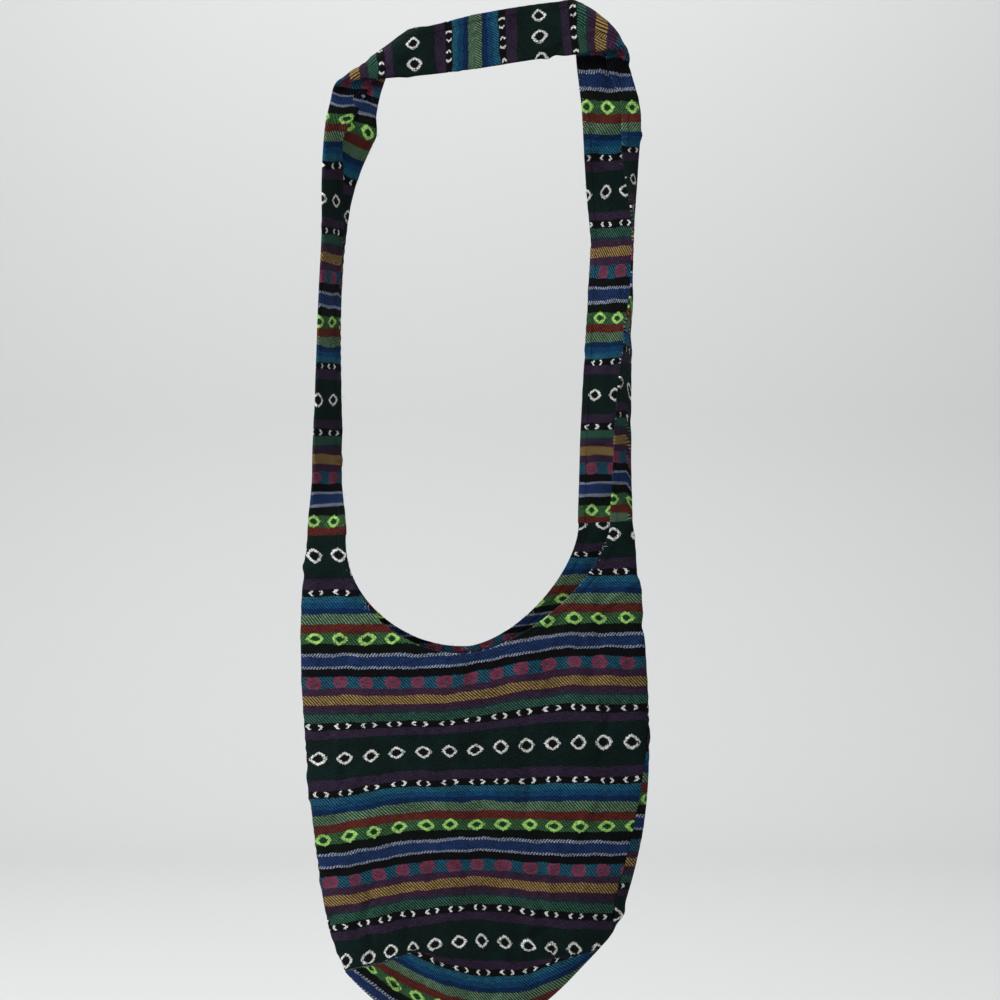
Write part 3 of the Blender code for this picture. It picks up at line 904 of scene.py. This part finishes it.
# Yarns in pixels of the photograph: slope and pitch of the diagonals, rows of the edging
TWILL = (0.85, 3.2)
TICKS = (-0.9, 3.0)
TICK_BANDS = ((60.7, 63.4), (73.2, 75.9))
YARN_PITCH = 1.15
YARN_SHARE = 0.5

# Noises over the cloth: scale, detail, and two stretches where it is stretched
STREAKS = (1.0, 2.0, (0.16, 1.5))
SLUBS = (1.0, 2.0, (0.9, 0.12))
GRAIN = (1.6, 1.0)
PATCHES = (0.035, 3.0)
DARK_FLECKS = (0.75, 1.0, (1.0, 1.6))
PALE_FLECKS = (0.95, 1.0, (1.8, 1.0))
FIBRE_TONES = (90.0, 0.0)

# How far outlines are ragged and drift, in pixels of the photograph, each with its noise
ACROSS_WEAR = ((3.4, (0.55, 1.0)), (10.0, (0.026, 1.0)))
DOWN_WEAR = ((2.6, (0.6, 1.0, (1.0, 0.45))), (6.5, (0.034, 2.0)))

# Least noise, with a soft edge, of flecks and pale fibres; least slub of the motifs
LEAST_DARK = (0.62, 0.04)
LEAST_PALE = (0.65, 0.03)
LEAST_FIBRE = (0.52, 0.03)
NEON_SLUB = (0.36, 0.04)
DIAMOND_SLUB = (0.38, 0.04)
ARROW_SLUB = (0.34, 0.04)

# Shade of the cloth: plain, least, by streaks, grain and patches, and by the other parts
PLAIN_SHADE = 0.95
LEAST_SHADE = 0.05
NOISE_SHADES = (3.2, 2.6, 1.4)
# Painted shade of the weave: each yarn lighter on its crest, darker where it dips
PAINTED_YARN_SHADE = 0.15
# Painted shade in the groove at the hem's inner edge
PAINTED_GROOVE_SHADE = 0.18
DARK_SHADE = 0.55
PALE_SHADE = 0.9
STITCH_COVER = 0.6

# Relief: white and neon motifs, diagonals, yarns, streaks, grain, stitches and groove, and the bump
RELIEFS = (1.1, 0.9, 0.45, 0.55, 0.5, 0.4, 1.2, -1.4)
BUMP_STRENGTH = 0.7
BUMP_DISTANCE = 0.0007

# Gloss
CLOTH_ROUGHNESS = 0.86
STREAK_ROUGHNESS = 0.2
WHITE_SMOOTHNESS = 0.1
CLOTH_SPECULAR = 0.08
CLOTH_SHEEN = 0.01
FIBRE_ROUGHNESS = 0.9

# Stitches and groove of the hems in centimetres, the groove darkened with painted shade; half widths come
# with a soft edge
STITCH_LINE = 0.53
STITCH_HALF = (0.028, 0.008)
STITCH_LENGTH = 0.34
STITCH_SHARE = (0.68, 0.04)
GROOVE_LINE = 0.68
GROOVE_HALF = (0.05, 0.04)

# Numbered sockets of Blender's colour mix
MIX_INPUTS = (0, 6, 7)
MIX_OUTPUT = 2


class Value:
    """A number in a node tree, with the usual arithmetic."""

    def __init__(self, socket):
        self.socket = socket

    def op(self, kind, *others):
        """Result of a math node on this value and others."""
        node = self.socket.id_data.nodes.new("ShaderNodeMath")
        node.operation = kind
        for slot, item in enumerate((self, *others)):
            feed(node.inputs[slot], item)
        return Value(node.outputs[0])

    def __add__(self, other):
        return self.op("ADD", other)

    __radd__ = __add__

    def __sub__(self, other):
        return self.op("SUBTRACT", other)

    def __rsub__(self, other):
        return (self * -1) + other

    def __mul__(self, other):
        return self.op("MULTIPLY", other)

    def __truediv__(self, other):
        return self.op("DIVIDE", other)

    def abs(self):
        return self.op("ABSOLUTE")

    def fract(self):
        return self.op("FRACT")

    def below(self, limit, soft):
        """1 where the value is below the limit, with a soft edge."""
        return ((limit - self) / (2 * soft) + 0.5).op("MINIMUM", 1.0).op("MAXIMUM", 0.0)

    def above(self, limit, soft):
        return 1 - self.below(limit, soft)


def between(value, low, high, soft=0.15):
    """1 between two limits, with soft edges."""
    return value.above(low, soft) * value.below(high, soft)


def lines(value, pitch, share, soft=0.12):
    """1 on evenly spaced lines that cover a share of the pitch."""
    return ((value / pitch).fract() - 0.5).abs().below(share / 2, soft)


def linear(display):
    """Linear colour from a display colour of 0 to 255."""
    result = []
    for value in display:
        value = value / 255
        result.append(value / 12.92 if value <= 0.04045 else ((value + 0.055) / 1.055) ** 2.4)
    return tuple(result)


def feed(target, item):
    """Give an input a value, another socket, a display colour or a number."""
    if isinstance(item, Value):
        item = item.socket
    if isinstance(item, bpy.types.NodeSocket):
        target.id_data.links.new(item, target)
    elif isinstance(item, tuple):
        target.default_value = (*linear(item), 1.0)
    else:
        target.default_value = item


def add_node(tree, kind, inputs):
    """New node with some of its inputs given by name or number."""
    node = tree.nodes.new(kind)
    for name, item in inputs.items():
        feed(node.inputs[name], item)
    return node


def mix_colour(tree, factor, one, two, blend="MIX"):
    """Mix of two colours."""
    node = tree.nodes.new("ShaderNodeMix")
    node.data_type = "RGBA"
    node.blend_type = blend
    for slot, item in zip(MIX_INPUTS, (factor, one, two)):
        feed(node.inputs[slot], item)
    return node.outputs[MIX_OUTPUT]


def band_ramp(tree, place, sign):
    """Yarn colours of all bands over one repeat; sign picks the lighter or the darker yarn."""
    ramp = add_node(tree, "ShaderNodeValToRGB", {"Fac": place})
    ramp.color_ramp.interpolation = "CONSTANT"
    stops = ramp.color_ramp.elements
    stops.remove(stops[-1])
    for start, colour, contrast in BANDS:
        stop = stops[0] if start == 0 else stops.new(start / REPEAT)
        stop.position = start / REPEAT
        stop.color = (*(value * (1 + sign * contrast) for value in linear(colour)), 1.0)
    return ramp.outputs[0]


def noise(tree, vector, scale, detail, stretch=None):
    """Noise over a vector, which may be stretched."""
    if stretch is not None:
        mapping = add_node(tree, "ShaderNodeMapping", {"Vector": vector})
        mapping.inputs["Scale"].default_value = (*stretch, 1.0)
        vector = mapping.outputs[0]
    inputs = {"Vector": vector, "Scale": scale, "Detail": detail}
    return Value(add_node(tree, "ShaderNodeTexNoise", inputs).outputs["Fac"])


def uv_parts(tree, name):
    """The two numbers of a layer of texture coordinates."""
    uv = tree.nodes.new("ShaderNodeUVMap")
    uv.uv_map = name
    split = add_node(tree, "ShaderNodeSeparateXYZ", {"Vector": uv.outputs[0]})
    return Value(split.outputs[0]), Value(split.outputs[1])


class Weave:
    """Masks and reliefs of the striped cloth, from its motif and band coordinates."""

    def __init__(self, tree):
        self.tree = tree
        motif, band = uv_parts(tree, "weave")
        self.down = band * REPEAT
        self.across = motif * MOTIF
        straight = (self.across, self.down)
        join = add_node(tree, "ShaderNodeCombineXYZ", dict(zip("XY", straight)))
        self.cloth = join.outputs[0]
        self.streak = self.noise(STREAKS)
        self.slub = self.noise(SLUBS)
        column, band = straight
        for size, form in ACROSS_WEAR:
            column = column + (self.noise(form) - 0.5) * size
        for size, form in DOWN_WEAR:
            band = band + (self.noise(form) - 0.5) * size
        self.place = (band / REPEAT).fract()
        self.row = self.place * REPEAT
        self.off = ((column / MOTIF + 0.5).fract() - 0.5) * MOTIF

    def noise(self, form):
        return noise(self.tree, self.cloth, *form)

    def diagonals(self, slope, pitch):
        """Fine diagonals of the second yarn."""
        return lines(self.across - self.down * slope, pitch, YARN_SHARE)

    def tick_rows(self):
        """1 on the rows of the edging."""
        low, high = TICK_BANDS
        return between(self.row, *low).op("MAXIMUM", between(self.row, *high))

    def yarns(self):
        """Height of a plain weave, with one yarn over and the next one under."""
        across = self.across / YARN_PITCH
        down = self.down / YARN_PITCH
        over = ((across.op("FLOOR") + down.op("FLOOR")) / 2).fract().above(0.25, 0.01)
        warp = 1 - ((across.fract() - 0.5) * 2).op("POWER", 2.0)
        weft = 1 - ((down.fract() - 0.5) * 2).op("POWER", 2.0)
        return warp * over + weft * (1 - over)

    def ring(self, centre, half, hollow):
        """A hollow lozenge with blunt corners, and the lozenge that it encloses."""
        x = self.off / half[0]
        y = (self.row - centre) / half[1]
        blunt = (x * x + y * y).op("SQRT") * RING_ROUNDNESS + (x.abs() + y.abs()) * (1 - RING_ROUNDNESS)
        return between(blunt, hollow, 1.0, RING_EDGE), blunt.below(hollow, RING_EDGE)

    def worn(self, mask, least):
        """The mask with short gaps where a yarn has slipped."""
        return mask * self.slub.above(*least)

    def arrows(self):
        """Pairs of arrowheads that point away from each other."""
        found = None
        for centre in (0.0, ARROW_BAND, REPEAT):
            off = (self.row - centre).abs()
            head = (self.off.abs() - (ARROW_REACH - off * ARROW_SLOPE)).abs()
            pair = head.below(ARROW_STROKE, ARROW_EDGE) * off.below(ARROW_RISE, ARROW_EDGE)
            found = pair if found is None else found.op("MAXIMUM", pair)
        return found

    def dots(self):
        """Round spots cut off by the edges of their band, and their outlines."""
        x = self.off
        y = (self.row - DOT_BAND) * DOT_SQUASH
        far = (x * x + y * y).op("SQRT")
        inside = (self.row - DOT_BAND).abs().below(*DOT_CUT)
        outline = between(far, DOT_HOLLOW, DOT_RADIUS, DOT_EDGE)
        return far.below(DOT_RADIUS, DOT_EDGE) * inside, outline * inside


def hem_stitches(tree):
    """Stitches of the hem, and the groove at its inner edge, which gets relief and painted shade."""
    run, distance = uv_parts(tree, "hem")
    thread = (distance - STITCH_LINE).abs().below(*STITCH_HALF)
    groove = (distance - GROOVE_LINE).abs().below(*GROOVE_HALF)
    return thread * lines(run, STITCH_LENGTH, *STITCH_SHARE), groove


def new_material(name):
    """New material with its node tree and its shader."""
    material = bpy.data.materials.new(name)
    material.use_nodes = True
    return material, material.node_tree, material.node_tree.nodes["Principled BSDF"]


def woven_material(name):
    """Striped cloth with motifs, wear and hem stitches, with painted shade on the yarns and in the hem's
    groove.
    """
    material, tree, shader = new_material(name)
    weave = Weave(tree)
    twill = weave.diagonals(*TWILL)
    ticked = weave.tick_rows()
    yarn = twill * (1 - ticked) + weave.diagonals(*TICKS) * ticked
    spot, outline = weave.dots()
    neon, leaf = weave.ring(*NEON)
    neon = weave.worn(neon, NEON_SLUB)
    diamond, centre = weave.ring(*DIAMOND)
    arrows = weave.worn(weave.arrows(), ARROW_SLUB)
    white = weave.worn(diamond, DIAMOND_SLUB).op("MAXIMUM", arrows)
    stitch, groove = hem_stitches(tree)

    colour = mix_colour(tree, yarn, band_ramp(tree, weave.place, -1), band_ramp(tree, weave.place, 1))
    layers = (
        (spot, mix_colour(tree, twill, HEATHER_YARN, PINK_YARN)),
        (outline, PINK_YARN),
        (leaf, LEAF_YARN),
        (neon, NEON_YARN),
        (centre, CENTRE_YARN),
        (white, WHITE_YARN),
        (stitch * STITCH_COVER, STITCH_THREAD),
    )
    for mask, cover in layers:
        colour = mix_colour(tree, mask, colour, cover)

    yarns = weave.yarns()
    # Painted shade of the weave: yarn crests lighter, the dips between yarns darker
    shade = yarns * PAINTED_YARN_SHADE + PLAIN_SHADE
    grain = weave.noise(GRAIN)
    for part, share in zip((weave.streak, grain, weave.noise(PATCHES)), NOISE_SHADES):
        shade = shade + (part - 0.5) * share
    dark = weave.noise(DARK_FLECKS).above(*LEAST_DARK)
    pale = weave.noise(PALE_FLECKS).above(*LEAST_PALE)
    # Painted shade darkens the groove at the hem's inner edge
    shade = shade * (1 - groove * PAINTED_GROOVE_SHADE) * (1 - dark * DARK_SHADE)
    shade = (shade + pale * PALE_SHADE).op("MAXIMUM", LEAST_SHADE)
    feed(shader.inputs["Base Color"], mix_colour(tree, 1.0, colour, shade, "MULTIPLY"))

    reliefs = (white, neon, yarn, yarns, weave.streak, grain, stitch, groove)
    height = sum(relief * share for relief, share in zip(reliefs, RELIEFS))
    bump = {"Strength": BUMP_STRENGTH, "Distance": BUMP_DISTANCE, "Height": height}
    feed(shader.inputs["Normal"], add_node(tree, "ShaderNodeBump", bump).outputs[0])
    rough = CLOTH_ROUGHNESS + (weave.streak - 0.5) * STREAK_ROUGHNESS - white * WHITE_SMOOTHNESS
    feed(shader.inputs["Roughness"], rough)
    shader.inputs["Specular IOR Level"].default_value = CLOTH_SPECULAR
    shader.inputs["Sheen Weight"].default_value = CLOTH_SHEEN
    return material


def fibre_material(name):
    """Yarn colour that changes from fibre to fibre."""
    material, tree, shader = new_material(name)
    place = tree.nodes.new("ShaderNodeTexCoord").outputs["Object"]
    pale = noise(tree, place, *FIBRE_TONES).above(*LEAST_FIBRE)
    feed(shader.inputs["Base Color"], mix_colour(tree, pale, DARK_FIBRE, WHITE_YARN))
    feed(shader.inputs["Roughness"], FIBRE_ROUGHNESS - pale * WHITE_SMOOTHNESS)
    return material


# Stage

FLOOR_HEIGHT = -1.02
FLOOR_REACH = 9.0
WALL_DISTANCE = 2.8
WALL_HEIGHT = 3.4
CURVE_RADIUS = 0.8
CURVE_STEPS = 16
STAGE_HALF = 9.0
BACKDROP_PAINT = (0.60, 0.605, 0.60)
PAINT_ROUGHNESS = 0.9
SKY_COLOUR = (0.9, 0.93, 1.0)
SKY_STRENGTH = 0.28

# Square lamps: place, what they are turned to, size and power
LAMPS = {
    "key": ((-2.1, -1.3, 0.6), (0, 0, -0.4), 1.0, 66),
    "fill": ((1.5, -2.0, 0.0), (0, 0, -0.5), 1.6, 12),
    "top": ((0, -0.5, 1.6), (0, 0, -0.4), 1.2, 20),
    "wall": ((0, 1.0, 2.6), (0, WALL_DISTANCE, -0.3), 2.0, 75),
}
SENSOR_WIDTH = 36.0


def build_stage():
    """Pale floor that runs up into a wall far behind the bag."""
    profile = [(-FLOOR_REACH, FLOOR_HEIGHT)]
    for step in range(CURVE_STEPS + 1):
        angle = QUARTER * step / CURVE_STEPS
        y = WALL_DISTANCE - CURVE_RADIUS * (1 - math.sin(angle))
        profile.append((y, FLOOR_HEIGHT + CURVE_RADIUS * (1 - math.cos(angle))))
    profile.append((WALL_DISTANCE, WALL_HEIGHT))
    points = [(x, y, z) for y, z in profile for x in (-STAGE_HALF, STAGE_HALF)]
    faces = [(low, low + 1, low + 3, low + 2) for low in range(0, len(points) - 2, 2)]
    item = link_mesh("backdrop", points, faces)
    material, _, shader = new_material("backdrop_paint")
    shader.inputs["Base Color"].default_value = (*BACKDROP_PAINT, 1.0)
    shader.inputs["Roughness"].default_value = PAINT_ROUGHNESS
    item.data.materials.append(material)


def build_lamps():
    """Square lamps, each turned to its target."""
    for name, (place, target, size, power) in LAMPS.items():
        lamp = bpy.data.lights.new(name, "AREA")
        lamp.shape = "SQUARE"
        lamp.size = size
        lamp.energy = power
        item = bpy.data.objects.new(name, lamp)
        item.location = place
        item.rotation_euler = (Vector(target) - Vector(place)).to_track_quat("-Z", "Y").to_euler()
        bpy.context.collection.objects.link(item)


def build_world():
    """Soft light from all round, which the camera sees as a pale room."""
    world = bpy.data.worlds.new("studio")
    world.use_nodes = True
    tree = world.node_tree
    light = tree.nodes["Background"]
    light.inputs["Color"].default_value = (*SKY_COLOUR, 1.0)
    light.inputs["Strength"].default_value = SKY_STRENGTH
    seen = tree.nodes.new("ShaderNodeBackground")
    seen.inputs["Color"].default_value = (*BACKDROP_PAINT, 1.0)
    camera_ray = tree.nodes.new("ShaderNodeLightPath").outputs["Is Camera Ray"]
    inputs = {0: camera_ray, 1: light.outputs[0], 2: seen.outputs[0]}
    mix = add_node(tree, "ShaderNodeMixShader", inputs)
    feed(tree.nodes["World Output"].inputs["Surface"], mix.outputs[0])
    bpy.context.scene.world = world


def build_camera():
    """Camera of the photograph, and the plain view of its colours."""
    camera = bpy.data.cameras.new("camera")
    camera.sensor_width = SENSOR_WIDTH
    camera.lens = SENSOR_WIDTH * CAMERA_DISTANCE / PICTURE_WIDTH
    item = bpy.data.objects.new("camera", camera)
    item.location = (CAMERA_X, -CAMERA_DISTANCE, CAMERA_Z)
    item.rotation_euler = (QUARTER, 0, 0)
    bpy.context.collection.objects.link(item)
    bpy.context.scene.camera = item
    bpy.context.scene.view_settings.view_transform = "Standard"


def main():
    """All pieces of the bag, its stage, the lamps and the camera."""
    cloth = woven_material("woven_cotton")
    front, front_neck = build_panel("front_cloth", 1)
    back, back_neck = build_panel("back_cloth", -1)
    left, left_hems = build_strap("strap_cloth_left", -1)
    right, right_hems = build_strap("strap_cloth_right", 1)
    places = (
        (front, "front_panel", "front_cloth", PANEL_CUT, FRONT_CUT_AREA),
        (back, "back_panel", "back_cloth", PANEL_CUT, BACK_CUT_AREA),
        (left, "strap_left", "strap_cloth_left", (STRAP_WIDTH, STRAP_CUTS[-1]), None),
        (right, "strap_right", "strap_cloth_right", (STRAP_WIDTH, STRAP_CUTS[1]), None),
    )
    for item, node, material_slot, flat, area in places:
        item.data.materials.append(cloth)
        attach(item, "root")
        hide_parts(node)
    paths = [(front_neck, NECK_FIBRES[1]), (back_neck, NECK_FIBRES[-1])]
    paths += [(edge, STRAP_FIBRES) for edge in (*left_hems, *right_hems)]
    fibres = build_fibres("hem_fibres", paths)
    fibres.data.materials.append(fibre_material("loose_yarn"))
    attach(fibres, "root")
    build_stage()
    build_lamps()
    build_world()
    build_camera()


main()
